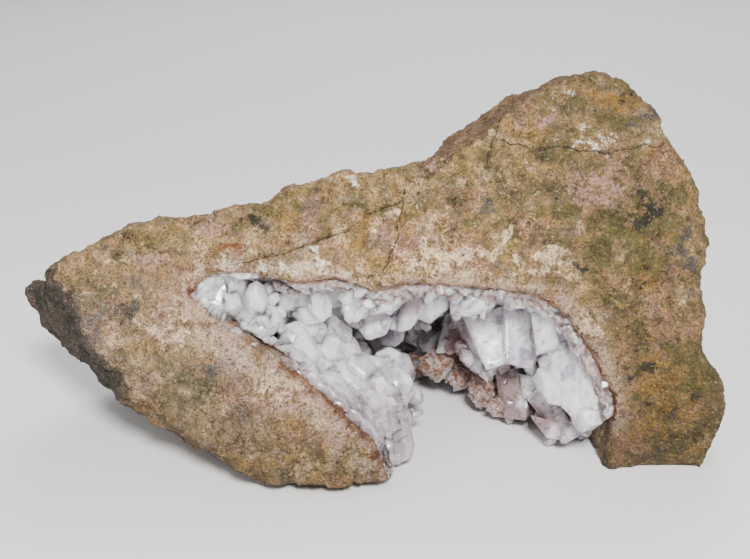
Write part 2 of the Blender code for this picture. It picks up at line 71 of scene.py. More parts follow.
# %% [markdown]
# ## Two ways to name a place
#
# The slab leans back by 20 degrees. Places on its front face are easier to name on the face itself than in
# the room: u runs across the face, v up it and w into the rock. Everything that follows is measured in
# millimetres, as one would do with a ruler on the stone, and is brought to metres at the end.

# %% Units and the slab's own directions
MM = 0.001
LEAN = math.radians(20)
SLAB_START = Vector((2.28, -31.06, 0.0))  # the middle of the line where the front face meets the ground
ACROSS = Vector((1.0, 0.0, 0.0))
UP_THE_FACE = Vector((0.0, math.sin(LEAN), math.cos(LEAN)))
INTO_THE_ROCK = Vector((0.0, math.cos(LEAN), -math.sin(LEAN)))


def on_slab(places):
    """The u, v and w of an array of places."""
    out = places - np.array(SLAB_START)
    return out @ np.array(ACROSS), out @ np.array(UP_THE_FACE), out @ np.array(INTO_THE_ROCK)


def in_room(u, v, w):
    return SLAB_START + ACROSS * u + UP_THE_FACE * v + INTO_THE_ROCK * w


print("the face leans back", round(math.degrees(LEAN)), "degrees")

# %% [markdown]
# ## Mesh tools
#
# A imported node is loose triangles, so a copy of it is merged before anything else is done to it. A voxel
# remesh then lays an even net over the rough solid, fine enough to carry grains. Sculpting by hand would do
# as well, but a few noise functions, added along each vertex's normal, give the same surface every time the
# script runs.


# %% Copying, remeshing and finishing a piece
MERGE_DISTANCE = 1e-3


def merged_copy(node):
    """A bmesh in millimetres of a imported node, with its loose triangles joined up."""
    bm = bmesh.new()
    bm.from_mesh(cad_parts[node].data)
    bm.transform(Matrix.Scale(1 / MM, 4))
    bmesh.ops.remove_doubles(bm, verts=bm.verts[:], dist=MERGE_DISTANCE)
    return bm


def piece_from(name, bm):
    mesh = bpy.data.meshes.new(name)
    bm.to_mesh(mesh)
    bm.free()
    piece = bpy.data.objects.new(name, mesh)
    bpy.context.scene.collection.objects.link(piece)
    return piece


def remeshed(bm, voxel):
    """The same solid under an even net of quads."""
    rough = piece_from("rough", bm)
    remesh = rough.modifiers.new("Voxels", "REMESH")
    remesh.mode = "VOXEL"
    remesh.voxel_size = voxel
    even = rough.evaluated_get(bpy.context.evaluated_depsgraph_get())
    result = bmesh.new()
    result.from_mesh(even.to_mesh())
    bpy.data.objects.remove(rough)
    return result


def soften(bm, times, factor=0.5):
    for _ in range(times):
        bmesh.ops.smooth_vert(bm, verts=bm.verts[:], factor=factor,
                              use_axis_x=True, use_axis_y=True, use_axis_z=True)


def smoothstep(low, high, x):
    t = np.clip((x - low) / (high - low), 0.0, 1.0)
    return t * t * (3 - 2 * t)


def places_of(bm):
    return np.array([vert.co for vert in bm.verts])


def finish_piece(name, bm, attributes, replaced=()):
    """Makes the bmesh a piece of the object, in metres, with its attributes, riding on the one body."""
    bmesh.ops.triangulate(bm, faces=bm.faces[:])
    for face in bm.faces:
        face.smooth = True
    bm.transform(Matrix.Scale(MM, 4))
    piece = piece_from(name, bm)
    for key, values in attributes.items():
        layer = piece.data.attributes.new(key, "FLOAT", "POINT")
        layer.data.foreach_set("value", np.asarray(values, dtype=np.float32))
    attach(piece, "root")
    if replaced:
        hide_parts(*replaced)
    print(name, "triangles", len(piece.data.polygons))
    return piece


# %% [markdown]
# ## Broken surfaces
#
# Stone does not break smoothly. Three kinds of relief make it look broken: lumps, from soft noise; creases,
# where that noise crosses zero; and grains, each a small flat plane that tilts its own way. The grains come
# from a Voronoi pattern: every cell of it gets its own tilt, which also gives a crystal face its stepped
# look. A fourth function, sway, moves things sideways: it makes a straight crack wander and a round stain
# ragged. Blender has a noise vector of its own, but that one draws a new pattern each time Blender starts,
# so sway reads plain noise at three places instead.


# %% Relief functions
THREE_PLACES = [Vector((9.3, -1.5, -7.9)), Vector((0.4, 5.2, 2.6)), Vector((-6.1, 3.8, 1.3))]


def sway(co):
    """A vector that drifts smoothly over the surface: one repeatable noise, read at three shifted places."""
    return Vector([noise.noise(co + shift) for shift in THREE_PLACES])


def lumps(co, size, height):
    return height * noise.fractal(co / size, 0.8, 2.1, 3)


def creases(co, size, depth):
    """Sharp valleys between rounded backs."""
    return -depth * (1 - abs(noise.noise(co / size)) * 2.4) ** 3


def grains(co, size, tilt):
    """Small planes, about that size, each tilted its own way."""
    centre = noise.voronoi(co / size)[1][0]
    turn = noise.cell_vector(centre * 7.3) * 2 - Vector((1.0, 1.0, 1.0))
    return tilt * (co / size - centre).dot(turn)


print("relief of one place:", round(lumps(Vector((1, 2, 3)), 5.0, 1.0), 3))


# %% [markdown]
# ## The weathered rock
#
# The rough solid has a few thousand faces, like a block knocked into shape with a hammer. Softening rounds
# its edges, and the front, which is looked at most, gets a net twice as fine. Knobs along the top edge are
# named shapes, cracks are lines of points, and each stain, like each of two painted glints, is an ellipse;
# the rest of the relief is noise.
# Near the cavity the stone is fresh and follows the hollow's rim closely, so the relief is lower there.

# %% Named shapes of the front: places as (u, v), sizes in millimetres
ROCK_VOXEL = 0.78
ROCK_SOFTENINGS = 4
FRONT_DEPTH = 7.0  # how far behind the front face the finer net reaches
FRONT_TURN = -0.2  # and how squarely its faces look forwards

KNOBS = {  # along the top edge: u, v, w, radius and height
    "left knob": (-13.8, 50.0, 3.0, 2.6, 0.9),
    "pale knob": (-4.8, 52.0, 2.5, 3.6, 1.1),
    "knob at the peak's foot": (4.4, 53.2, 1.5, 2.2, 1.0),
    "shoulder above the ledge": (47.0, 62.0, 4.0, 4.0, 0.8),
    "right bulge": (59.0, 17.0, 6.0, 6.0, 0.6),
}
CRACKS = {
    "under the peak": [(20.4, 59.5), (28.1, 58.1), (36.6, 57.5), (45.1, 58.1), (48.8, 58.7)],
    "across the shoulder": [(-24.3, 38.2), (-19.2, 38.8), (-12.8, 40.8), (-9.7, 42.0), (-5.1, 43.9),
                            (-0.5, 47.3), (4.6, 49.6)],
    "down to the cavity": [(5.6, 53.0), (4.9, 49.3), (3.9, 45.2), (3.2, 41.1), (1.7, 37.7)],
    "up the peak": [(21.2, 63.2), (19.9, 59.5), (18.9, 55.2)],
}
CRACK_WANDER = (3.0, 0.7)  # how long its bends are, and how far they reach
CRACK_JITTER = (1.1, 0.3)
# Two of the white spots, at (-42.0, 32.8) and (32.5, 67.7), are painted glints; the other rows are stains.
STAINS_AND_GLINTS = [  # what it is, its centre (u, v) and its radii
    ("dark", -43.4, 30.9, 2.6, 2.9), ("white", -42.0, 32.8, 1.4, 0.9), ("ochre", -45.7, 25.8, 1.5, 1.5),
    ("dark", -20.1, 45.1, 2.6, 1.5), ("olive", -12.8, 47.3, 2.4, 2.6), ("white", -4.8, 51.0, 2.0, 1.2),
    ("olive", -5.1, 47.3, 3.7, 1.4), ("olive", 12.6, 49.6, 1.4, 1.4), ("slate", 18.2, 47.9, 3.4, 1.5),
    ("olive", 0.9, 46.8, 2.4, 2.0), ("dark", 34.5, 38.1, 2.4, 1.9), ("dark", 45.1, 35.0, 0.9, 1.2),
    ("olive", 43.4, 43.4, 10.5, 9.4), ("dark", 45.1, 45.9, 4.2, 3.7), ("ochre", 49.8, 16.2, 7.8, 10.5),
    ("olive", 53.6, 19.6, 5.1, 6.8), ("dark", 54.9, 15.0, 2.0, 2.4), ("dark", 45.1, 20.4, 3.1, 2.4),
    ("white", -25.5, 38.2, 1.9, 1.5), ("white", -11.2, 40.8, 0.9, 1.0), ("cream", -7.7, 37.7, 4.4, 1.0),
    ("cream", -15.3, 36.6, 5.1, 0.9), ("white", -17.0, 36.8, 5.0, 0.9), ("white", -8.5, 37.2, 4.5, 0.9),
    ("cream", 12.8, 39.4, 11.9, 2.4), ("cream", 28.1, 38.8, 6.8, 2.4), ("pink", 7.0, 41.5, 9.0, 1.2),
    ("cream", 2.0, 45.0, 2.2, 2.4), ("cream", 22.5, 44.0, 1.8, 2.6), ("slate", 52.5, 40.0, 2.4, 4.4),
    ("rust", -24.5, 40.0, 3.4, 0.8), ("dark", 15.0, 49.0, 1.6, 1.0), ("ochre", -1.5, 43.5, 2.0, 3.0),
    ("olive", -20.0, 49.0, 4.0, 1.6), ("olive", 30.0, 47.0, 4.0, 3.0), ("pink", -12.8, 16.2, 9.4, 4.1),
    ("cream", -14.5, 17.9, 6.8, 2.7), ("pink", -5.1, 11.1, 4.2, 3.7), ("pink", 0.9, 5.9, 3.4, 3.1),
    ("olive", -31.5, 17.9, 6.1, 6.1), ("slate", -27.2, 21.2, 3.4, 2.4), ("ochre", -35.7, 12.8, 5.1, 2.0),
    ("ochre", -21.2, 4.2, 10.2, 2.4), ("rust", -31.8, 33.5, 1.0, 1.5), ("rust", -24.3, 23.0, 1.7, 0.9),
    ("rust", 28.9, 32.3, 3.4, 1.4), ("rust", -32.5, 37.4, 3.7, 1.2), ("white", 36.9, 59.5, 6.0, 2.2),
    ("white", 32.5, 67.7, 1.4, 1.0), ("pink", 9.4, 57.8, 5.1, 3.4), ("pink", 28.1, 62.6, 4.4, 2.4),
    ("ochre", 40.0, 66.3, 4.8, 2.7), ("slate", 45.9, 62.1, 2.7, 2.0), ("slate", -55.3, 34.0, 3.7, 2.4),
    ("dark", -53.2, 32.3, 4.4, 3.1), ("slate", -48.5, 24.7, 3.7, 6.1), ("pink", 31.5, 28.9, 6.1, 4.4),
    ("cream", 36.6, 27.2, 3.4, 3.4), ("ochre", -23.0, 50.2, 6.8, 1.4), ("ochre", 45.1, 37.4, 4.4, 5.1),
    ("pink", 38.2, 51.0, 6.8, 5.1), ("pink", -38.2, 38.8, 4.8, 2.0), ("pink", -28.9, 43.4, 4.1, 2.0),
    ("cream", -34.9, 27.2, 4.4, 3.4),
]
print(len(STAINS_AND_GLINTS), "stains and", len(CRACKS), "cracks")

# %% Where something is seen on the front
VIEWPOINT_HEIGHT = 35.7  # where on the face the front view looks
VIEWPOINT_DISTANCE = 212.0
RUSTY = [  # where the seam between stone and crystal is rusty: centre (u, v), radii and strength
    (-13.0, 23.0, 8.0, 5.0, 1.0), (-5.0, 16.0, 6.0, 6.0, 1.0), (1.0, 9.0, 5.0, 6.0, 1.0),
    (-31.0, 33.8, 1.6, 1.8, 0.9), (39.5, 17.0, 4.0, 8.0, 0.8), (2.0, 35.5, 4.0, 2.0, 0.8),
    (-9.5, 35.5, 5.0, 1.2, 0.7), (28.9, 32.3, 5.0, 2.0, 0.6),
]


def seen_from_front(places):
    """Where each place is seen against the front face: (u, v)."""
    u, v, w = on_slab(places)
    nearness = VIEWPOINT_DISTANCE / (VIEWPOINT_DISTANCE + w)
    return u * nearness, VIEWPOINT_HEIGHT + (v - VIEWPOINT_HEIGHT) * nearness


def spots(places, table):
    u, v = seen_from_front(places)
    share = np.zeros(len(u))
    for centre_u, centre_v, radius_u, radius_v, strength in table:
        off = ((u - centre_u) / radius_u) ** 2 + ((v - centre_v) / radius_v) ** 2
        share = np.maximum(share, strength * np.exp(-off))
    return share


# %% The rock's net
crust_wall = BVHTree.FromBMesh(merged_copy("calcite_crust"))
rock = remeshed(merged_copy("host_rock"), ROCK_VOXEL)
soften(rock, ROCK_SOFTENINGS)
rock.normal_update()
_, _, depth = on_slab(places_of(rock))
front = {face.index for face in rock.faces
         if face.normal.dot(INTO_THE_ROCK) < FRONT_TURN
         and max(depth[vert.index] for vert in face.verts) < FRONT_DEPTH}
front_edges = [edge for edge in rock.edges if any(face.index in front for face in edge.link_faces)]
bmesh.ops.subdivide_edges(rock, edges=front_edges, cuts=1, use_grid_fill=True, smooth=0.0)
print("rock net:", len(rock.verts), "vertices")


# %% Its distances: to the crystals, and to the nearest crack
FAR_FROM_CRACKS = 9.0


def wall_distance(places, tree):
    """How far each place is from the crystals."""
    return np.array([tree.find_nearest(Vector(place))[3] for place in places])


def sideways(places, large, small):
    """Two sways added up for each place, each given by its size and its reach."""
    return np.array([sway(Vector(place) / large[0]) * large[1] + sway(Vector(place) / small[0]) * small[1]
                     for place in places])


def crack_distance(u, v):
    """The signed distance to the nearest crack, and whether a place lies beside it, not past its end."""
    signed = np.full(len(u), FAR_FROM_CRACKS)
    beside = np.zeros(len(u))
    nearest = np.full(len(u), FAR_FROM_CRACKS)
    for line in CRACKS.values():
        for (au, av), (bu, bv) in zip(line, line[1:]):
            length = math.hypot(bu - au, bv - av)
            along = ((u - au) * (bu - au) + (v - av) * (bv - av)) / length**2
            off = ((u - au) * (bv - av) - (v - av) * (bu - au)) / length
            t = np.clip(along, 0, 1)
            away = np.hypot(u - au - t * (bu - au), v - av - t * (bv - av))
            closer = away < nearest
            nearest = np.where(closer, away, nearest)
            signed = np.where(closer, off, signed)
            beside = np.where(closer, smoothstep(0.9, 0.3, away - abs(off)), beside)
    return signed, beside


rock.normal_update()
places = places_of(rock)
normals = np.array([vert.normal for vert in rock.verts])
u, v, w = on_slab(places)
seam = wall_distance(places, crust_wall)
on_front = smoothstep(16.0, 6.0, w) * smoothstep(0.1, -0.35, normals @ np.array(INTO_THE_ROCK))
wander = sideways(places, CRACK_WANDER, CRACK_JITTER)
crack, crack_gate = crack_distance(u + wander[:, 0], v + wander[:, 2])
crack_gate = crack_gate * smoothstep(16.0, 8.0, w)
print("nearest to the crystals:", round(seam.min(), 2), "mm")

# %% Its relief
LUMPS = (6.0, 0.75)
CREASES = (3.4, 0.45)
FACETS = (2.2, 0.40)
GRAINS = (0.8, 0.24)
CRACK_DEPTH = 0.5
CRACK_WIDTH = 0.35
FRESH_WITHIN = (9.0, 1.5)  # the stone is fresh from this near to the crystals to this near
FRESH_SMOOTH = 0.8  # and that share of its coarse relief is missing there
FOOT_BAND = 1.2  # the relief fades out this near to the ground, where the base is worn flat

relief = np.zeros(len(places))
fine = np.zeros(len(places))
for i, place in enumerate(places):
    co = Vector(place)
    rough = lumps(co, *LUMPS) + creases(co, *CREASES)
    grit = grains(co, *FACETS) + grains(co, *GRAINS) + 0.10 * noise.noise(co / 0.7)
    relief[i] = rough
    fine[i] = grit
fresh = smoothstep(*FRESH_WITHIN, seam)
relief = relief * (1 - FRESH_SMOOTH * fresh) + fine * (1 + 0.1 * fresh)
for knob_u, knob_v, knob_w, radius, height in KNOBS.values():
    off = ((u - knob_u) ** 2 + (v - knob_v) ** 2 + (w - knob_w) ** 2) / radius**2
    relief += height * np.exp(-off)
relief -= CRACK_DEPTH * crack_gate * np.exp(-((crack / CRACK_WIDTH) ** 2))
relief *= smoothstep(0.2, FOOT_BAND, places[:, 2])
shift = normals * relief[:, None]
for vert, move in zip(rock.verts, shift):
    vert.co += Vector(move)
print("relief from", round(relief.min(), 2), "to", round(relief.max(), 2), "mm")


# %% Where each stain lies
def stain(kind, u, v):
    """From 0 to 1, how much of that stain a place has."""
    share = np.zeros(len(u))
    for name, centre_u, centre_v, radius_u, radius_v in STAINS_AND_GLINTS:
        if name == kind:
            off = ((u - centre_u) / radius_u) ** 2 + ((v - centre_v) / radius_v) ** 2
            share = np.maximum(share, np.exp(-0.7 * off))
    return share


STAIN_DRIFT = (5.0, 3.2)
STAIN_FRAY = (1.7, 1.5)
STAIN_KINDS = sorted({row[0] for row in STAINS_AND_GLINTS})
drift = sideways(places, STAIN_DRIFT, STAIN_FRAY)
rock_attributes = {kind: stain(kind, u + drift[:, 0], v + drift[:, 2]) * on_front for kind in STAIN_KINDS}
to_left = -normals[:, 0]
upward = normals @ np.array(UP_THE_FACE)
# The left end facet, turned away from the lamp: below it is painted dark grey-green, partly as a stain and
# partly as painted shade.
end_facet = smoothstep(0.3, 0.55, to_left) * smoothstep(-40.0, -45.0, u) * smoothstep(0.6, 0.3, upward)
end_facet = np.maximum(end_facet, smoothstep(-53.5, -56.5, u))
# The peak's left-facing shoulder, turned away from the lamp: below it is painted dusky pink, partly its own
# colour and partly painted shade.
shoulder = smoothstep(0.2, 0.45, to_left) * smoothstep(0.3, 0.6, upward) * smoothstep(4.0, 9.0, u)
# Painted shade: right_side and low darken the rock's tone towards the right and towards the bottom, where the
# light falls off. right_side also brings more olive film and less cream on the right.
right_side = smoothstep(12.0, 34.0, u) * (0.55 + 0.45 * smoothstep(34.0, 22.0, v))
low = smoothstep(24.0, 4.0, v)
left_side = smoothstep(-5.0, -25.0, u) * smoothstep(44.0, 30.0, v)
beside_band = smoothstep(33.0, 28.0, v) * smoothstep(8.0, 0.0, u)
seam = seam / (1.0 + 0.8 * beside_band)
rock_attributes |= {
    "end_facet": end_facet, "shoulder": shoulder, "right_side": right_side, "left_side": left_side,
    "low": low, "rusty": spots(places, RUSTY), "seam": seam, "crack": crack, "crack_gate": crack_gate,
    "pits": -relief}
weathered_rock = finish_piece("weathered_rock", rock, rock_attributes, ["host_rock"])

# %% [markdown]
# ## The crust of calcite
#
# Calcite grows on every wall of the hollow at once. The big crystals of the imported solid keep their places
# and their flat faces: edges longer than a millimetre are divided until the faces can carry shallow growth
# steps, and only edges that turn sharply stay sharp. The crust's outer skin is drawn out into the rock,
# because on a real specimen no gap shows where crystal meets stone. Above and to the right of the hollow
# its bare edge would look like the cut wall of a bowl, so it starts a little deeper there, and its edge is
# frayed with lumps and grains.

# %% The crust's net and relief
ROOTED_WITHIN = 0.9  # skin that lies this near to the rock is drawn onto it
ROOT_DEPTH = 0.35
LIP = 1.6  # the skin is this thick at the mouth
LIP_RECESS = 1.0  # and above and right of the hollow its bare edge starts this much deeper
LONGEST_EDGE = 1.1
HALVINGS = 4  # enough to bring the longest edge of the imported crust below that
GROWTH_STEPS = (2.2, 0.14)
EDGE_GRAINS = (1.1, 0.5)  # where the crust thins out against the rock
EDGE_LUMPS = (2.0, 0.7)
SHARP_TURN = math.radians(32)

rock_wall = BVHTree.FromBMesh(merged_copy("host_rock"))
crust = merged_copy("calcite_crust")
for vert in crust.verts:
    wall, outward, _, distance = rock_wall.find_nearest(vert.co)
    if distance < ROOTED_WITHIN:
        vert.co = wall - outward * ROOT_DEPTH
lip_places = places_of(crust)
lip_u, lip_v, lip_w = on_slab(lip_places)
is_lip = smoothstep(LIP + 0.6, LIP, wall_distance(lip_places, rock_wall)) * smoothstep(4.0, 1.0, lip_w)
bare_above = smoothstep(30.0, 32.0, lip_v) * smoothstep(-22.0, -18.0, lip_u)
bare = np.maximum(bare_above, smoothstep(20.0, 24.0, lip_u))
for vert, share in zip(crust.verts, is_lip * bare):
    vert.co += INTO_THE_ROCK * LIP_RECESS * share
for _ in range(HALVINGS):
    long_edges = [edge for edge in crust.edges if edge.calc_length() > LONGEST_EDGE]
    bmesh.ops.subdivide_edges(crust, edges=long_edges, cuts=1)
    bmesh.ops.triangulate(crust, faces=crust.faces[:])
crust.normal_update()
crust_places = places_of(crust)
crust_u, crust_v, crust_w = on_slab(crust_places)
rim = wall_distance(crust_places, rock_wall)
edge_zone = smoothstep(3.5, 1.2, rim) * smoothstep(10.0, 6.0, crust_w)
for vert, share in zip(crust.verts, edge_zone):
    ragged_edge = grains(vert.co, *EDGE_GRAINS) + lumps(vert.co, *EDGE_LUMPS) if share > 0 else 0.0
    vert.co += vert.normal * (grains(vert.co, *GROWTH_STEPS) + ragged_edge * share)
crust_faces = [(face.calc_center_median(), face.normal.copy(), face.calc_area()) for face in crust.faces]
crust_triangles = [[vert.index for vert in face.verts] for face in crust.faces]
print("crust net:", len(crust.verts), "vertices")

# %% Its finish over its places
BLUSHES = [  # where crystals are pink, as seen from the front: centre (u, v), radii and strength
    (13.6, 25.0, 3.2, 5.0, 0.9), (22.2, 16.0, 2.6, 5.0, 1.2), (15.5, 18.5, 2.4, 3.0, 0.9),
    (27.0, 12.0, 8.0, 3.6, 0.8), (39.5, 18.0, 2.2, 6.0, 0.5), (33.0, 28.0, 3.5, 3.0, 0.3),
    (6.0, 31.5, 2.6, 3.0, 0.7), (4.0, 8.0, 2.6, 3.0, 0.6), (-2.0, 12.5, 2.0, 4.0, 0.5),
    (-16.0, 24.0, 2.2, 1.6, 0.5),
]


def low_down(u, v):
    """Near the open bottom of the hollow, most of all on its left side, where the crystals are given painted
    shade.
    """
    return smoothstep(25.0, 10.0, v) * (1.0 - 0.5 * smoothstep(5.0, 15.0, u))


def cavern(u, w):
    """How deep a place lies behind the mouth, in the dark middle of the hollow only; the crystals there are
    darkened by painted shade.
    """
    return w * smoothstep(15.0, 9.0, u) * smoothstep(-14.0, -6.0, u)


clear = smoothstep(4.0, 12.0, crust_u) * smoothstep(3.0, 7.0, crust_w)
tinted_above = smoothstep(29.0, 31.0, crust_v) * smoothstep(-24.0, -20.0, crust_u)
bare_now = np.maximum(tinted_above, smoothstep(20.0, 24.0, crust_u))
lip = bare_now * smoothstep(3.2, 1.6, rim) * smoothstep(8.0, 5.0, crust_w)
crust_attributes = {
    "rim": rim, "clear": clear, "deep": cavern(crust_u, crust_w), "lip": lip,
    "blush": spots(crust_places, BLUSHES), "rusty": spots(crust_places, RUSTY),
    "clot": np.zeros(len(crust_u)), "low": low_down(crust_u, crust_v)}
crystal_crust = finish_piece("crystal_crust", crust, crust_attributes, ["calcite_crust"])
crystal_crust.data.set_sharp_from_angle(angle=SHARP_TURN)

# %% [markdown]
# ## Smaller crystals on the crust
#
# Between the big crystals sit hundreds of small ones. A dozen shapes are cut, so to say, from a six-sided
# stub: tapered, with three slanting faces at the tip and blunted edges. Copies of them are turned,
# stretched and set into the crust wherever it looks out of the hollow, largest on the broad band at the
# left. Scattering them with a particle system would be quicker to set up, but its instances are lost when
# the model is exported. The crystals that catch the eye are set one by one, and a few clots of brown stone
# fill the gaps between the pillars at the right.


# %% One small crystal
def spar(rng):
    """A stubby six-sided crystal of unit length with three slanting end faces."""
    bm = bmesh.new()
    bmesh.ops.create_cone(bm, cap_ends=True, segments=6, radius1=0.42, radius2=rng.uniform(0.30, 0.5),
                          depth=1.0)
    turn = rng.uniform(0, math.tau)
    for third in range(3):
        angle = turn + math.tau * third / 3
        slope = Vector((math.cos(angle), math.sin(angle), rng.uniform(0.7, 1.2))).normalized()
        point = Vector((0.0, 0.0, rng.uniform(0.36, 0.48)))
        cut = bmesh.ops.bisect_plane(bm, geom=bm.verts[:] + bm.edges[:] + bm.faces[:], dist=1e-5,
                                     plane_co=point, plane_no=slope, clear_outer=True)
        edges = [item for item in cut["geom_cut"] if isinstance(item, bmesh.types.BMEdge)]
        bmesh.ops.edgeloop_fill(bm, edges=edges)
    bmesh.ops.recalc_face_normals(bm, faces=bm.faces[:])
    bmesh.ops.bevel(bm, geom=bm.edges[:], offset=0.035, offset_type="OFFSET", segments=1, profile=0.5,
                    affect="EDGES", material=-1, clamp_overlap=True)
    bmesh.ops.triangulate(bm, faces=bm.faces[:])
    mesh = bpy.data.meshes.new("spar")
    bm.to_mesh(mesh)
    bm.free()
    return mesh


SPAR_SHAPES = 12
SPAR_SHARP_TURN = math.radians(20)
rng = random.Random(7)
spars = [spar(rng) for _ in range(SPAR_SHAPES)]
print("faces of a small crystal:", [len(mesh.polygons) for mesh in spars])

# %% Where each kind grows
VIEW = -INTO_THE_ROCK
rng = random.Random(11)


class Growth:
    """One kind of small crystal: where it grows, how large, how flat, and how far it stands out."""

    def __init__(self, count, spacing, girth, height, tilt, out, ground):
        self.count = count
        self.spacing = spacing
        self.girth = girth
        self.height = height
        self.tilt = tilt
        self.out = out
        self.ground = ground


def left_band(u, v, w):
    return (u < 7.0) * (v < 35.0 - 0.25 * (u + 30.0)) * smoothstep(22.0, 10.0, w)


def deeper(u, v, w):
    return smoothstep(30.0, 20.0, w) * (0.2 + (u > -2.0))


def right_cluster(u, v, w):
    behind_plates = np.where(u > 31.0, 10.0, 16.0)
    return (u > 14.0) * (w > behind_plates) * smoothstep(30.0, 24.0, w)


def top_rim(u, v, w):
    return smoothstep(5.0, 2.5, w) * (v > 27.0)


def right_rim(u, v, w):
    return smoothstep(5.0, 2.5, w) * (u > 29.0)


TOWARDS_WALL = 0.45  # how much a crystal follows the wall that it grows from, and how much it looks forwards
FORWARDS = 0.75
TRIES = 5  # places drawn for each crystal that is wanted
SHARED_SIZE = 9.0  # neighbours this near to each other lie nearly parallel
SHARED_TILT = 0.7
TIP_GAP = 0.3  # how far from the rock its tip stays
TIP_IN_FRONT = -0.3  # and how far in front of the slab's face its tip may stand, so it stays behind it
ABOVE_GROUND = 0.8  # its middle stays this many girths above the ground
WALL_GAP = 0.3  # how far from the rock a crystal's middle stays, as a share of its girth
GROWTHS = {
    "plates of the broad band": Growth(34, 4.6, (6.5, 10.0), (0.5, 0.7), 0.15, 0.16, left_band),
    "chips of the broad band": Growth(36, 2.4, (2.2, 3.6), (0.7, 1.0), 0.2, 0.14, left_band),
    "points of the roof": Growth(150, 1.5, (1.6, 3.6), (0.9, 1.5), 0.5, 0.25, top_rim),
    "points of the right rim": Growth(80, 1.4, (1.6, 3.2), (0.6, 0.9), 0.4, 0.05, right_rim),
    "fillers of the right cluster": Growth(60, 2.2, (2.6, 4.6), (0.8, 1.3), 0.35, 0.3, right_cluster),
    "fine points all over": Growth(150, 1.6, (0.9, 1.9), (0.9, 1.5), 0.6, 0.25, deeper),
}

ground_centres = np.array([centre for centre, _, _ in crust_faces])
ground_normals = np.array([normal for _, normal, _ in crust_faces])
ground_areas = np.array([area for _, _, area in crust_faces])
ground_u, ground_v, ground_w = on_slab(ground_centres)
looks_out = smoothstep(-0.1, 0.25, ground_normals @ np.array(VIEW))
clear_of_rock = smoothstep(0.2, 0.5, wall_distance(ground_centres, rock_wall))

# %% Setting them into the crust
MIDDLE = 0.5  # a spar's own origin is halfway up it
small = bmesh.new()


def set_crystal(shape, centre, axis, turn, girth, width, height, out):
    """Sets one small crystal with its foot in the crust, so that a share of its height stands out."""
    sized = Matrix.Diagonal((girth, width, height, 1.0))
    turned = axis.to_track_quat("Z", "Y").to_matrix().to_4x4() @ Matrix.Rotation(turn, 4, "Z")
    start = len(small.verts)
    small.from_mesh(spars[shape])
    small.verts.ensure_lookup_table()
    matrix = Matrix.Translation(centre + axis * height * (out - MIDDLE)) @ turned @ sized
    bmesh.ops.transform(small, matrix=matrix, verts=small.verts[start:])


for title, growth in GROWTHS.items():
    weights = ground_areas * looks_out * clear_of_rock * growth.ground(ground_u, ground_v, ground_w)
    order = rng.choices(range(len(weights)), list(weights), k=growth.count * TRIES)
    taken = []
    for index in order:
        centre = Vector(ground_centres[index])
        if len(taken) == growth.count:
            break
        if any((centre - other).length < growth.spacing for other in taken):
            continue
        girth = rng.uniform(*growth.girth)
        height = girth * rng.uniform(*growth.height)
        wall_normal, wall_gap = rock_wall.find_nearest(centre)[1::2]
        wander = Vector((rng.uniform(-1, 1), rng.uniform(-1, 1), rng.uniform(-1, 1)))
        shared = sway(centre / SHARED_SIZE) * SHARED_TILT
        axis = (wall_normal * TOWARDS_WALL + VIEW * FORWARDS + shared + wander * growth.tilt).normalized()
        turn = noise.noise(centre / SHARED_SIZE) * math.tau + rng.uniform(-0.3, 0.3)
        tip = centre + axis * height * growth.out
        tip_wall, tip_outward = rock_wall.find_nearest(tip)[:2]
        in_front = (tip - SLAB_START).dot(VIEW)
        pierces = wall_gap < girth * WALL_GAP or (tip - tip_wall).dot(tip_outward) < TIP_GAP
        if pierces or in_front > TIP_IN_FRONT or centre.z < girth * ABOVE_GROUND:
            continue
        taken.append(centre)
        shape = rng.randrange(SPAR_SHAPES)
        width = girth * rng.uniform(0.6, 0.95)
        set_crystal(shape, centre, axis, turn, girth, width, height, growth.out)
    print(title, len(taken))

# %% Single crystals that catch the eye
crust_net = BVHTree.FromPolygons([Vector(co) for co in crust_places], crust_triangles)
SINGLE = {  # where it is seen (u, v), its axis (u, v, w), girth, width, height, and the share that stands out
    "tooth": ((-20.1, 32.6), (0.05, 0.92, -0.40), 5.4, 5.0, 8.0, 0.55),
    "block below the tooth": ((-19.0, 28.8), (0.2, 0.35, -0.90), 8.0, 6.5, 5.0, 0.30),
    "round head at the end": ((-25.2, 32.6), (-0.2, 0.5, -0.80), 6.0, 5.5, 4.5, 0.30),
    "long one on the shoulder": ((-11.4, 29.6), (0.70, -0.35, -0.60), 4.6, 4.0, 9.0, 0.45),
    "blade beside it": ((-5.4, 26.6), (0.60, -0.45, -0.66), 5.4, 4.0, 8.0, 0.42),
    "great facet": ((-9.0, 24.0), (-0.15, 0.25, -0.95), 9.5, 7.0, 5.0, 0.28),
    "lower facet": ((-2.2, 19.6), (0.25, 0.15, -0.95), 9.5, 7.5, 5.5, 0.28),
    "block above the foot": ((3.0, 14.6), (0.50, 0.10, -0.86), 7.0, 5.5, 5.5, 0.32),
    "block at the foot": ((4.2, 9.6), (0.55, -0.25, -0.80), 6.5, 5.0, 5.0, 0.35),
    "slanting blade": ((16.4, 25.0), (0.42, -0.85, -0.30), 4.8, 3.4, 13.0, 0.50),
    "last plate at the right": ((36.0, 11.5), (-0.15, -0.45, -0.88), 8.0, 6.0, 5.0, 0.35),
    "plate below the great ones": ((30.0, 16.5), (0.30, -0.60, -0.74), 6.5, 4.5, 8.0, 0.45),
}
viewpoint = in_room(0.0, VIEWPOINT_HEIGHT, -VIEWPOINT_DISTANCE)
for number, (title, (place, axis, girth, width, height, out)) in enumerate(SINGLE.items()):
    towards = (in_room(*place, 0.0) - viewpoint).normalized()
    hit = crust_net.ray_cast(viewpoint, towards)[0]
    if hit is None:
        print("no crust behind the", title)
        continue
    along = (ACROSS * axis[0] + UP_THE_FACE * axis[1] + INTO_THE_ROCK * axis[2]).normalized()
    set_crystal(number % SPAR_SHAPES, hit, along, number * 1.3, girth, width, height, out)
    print(title, "sits at w =", round((hit - SLAB_START).dot(INTO_THE_ROCK), 1))

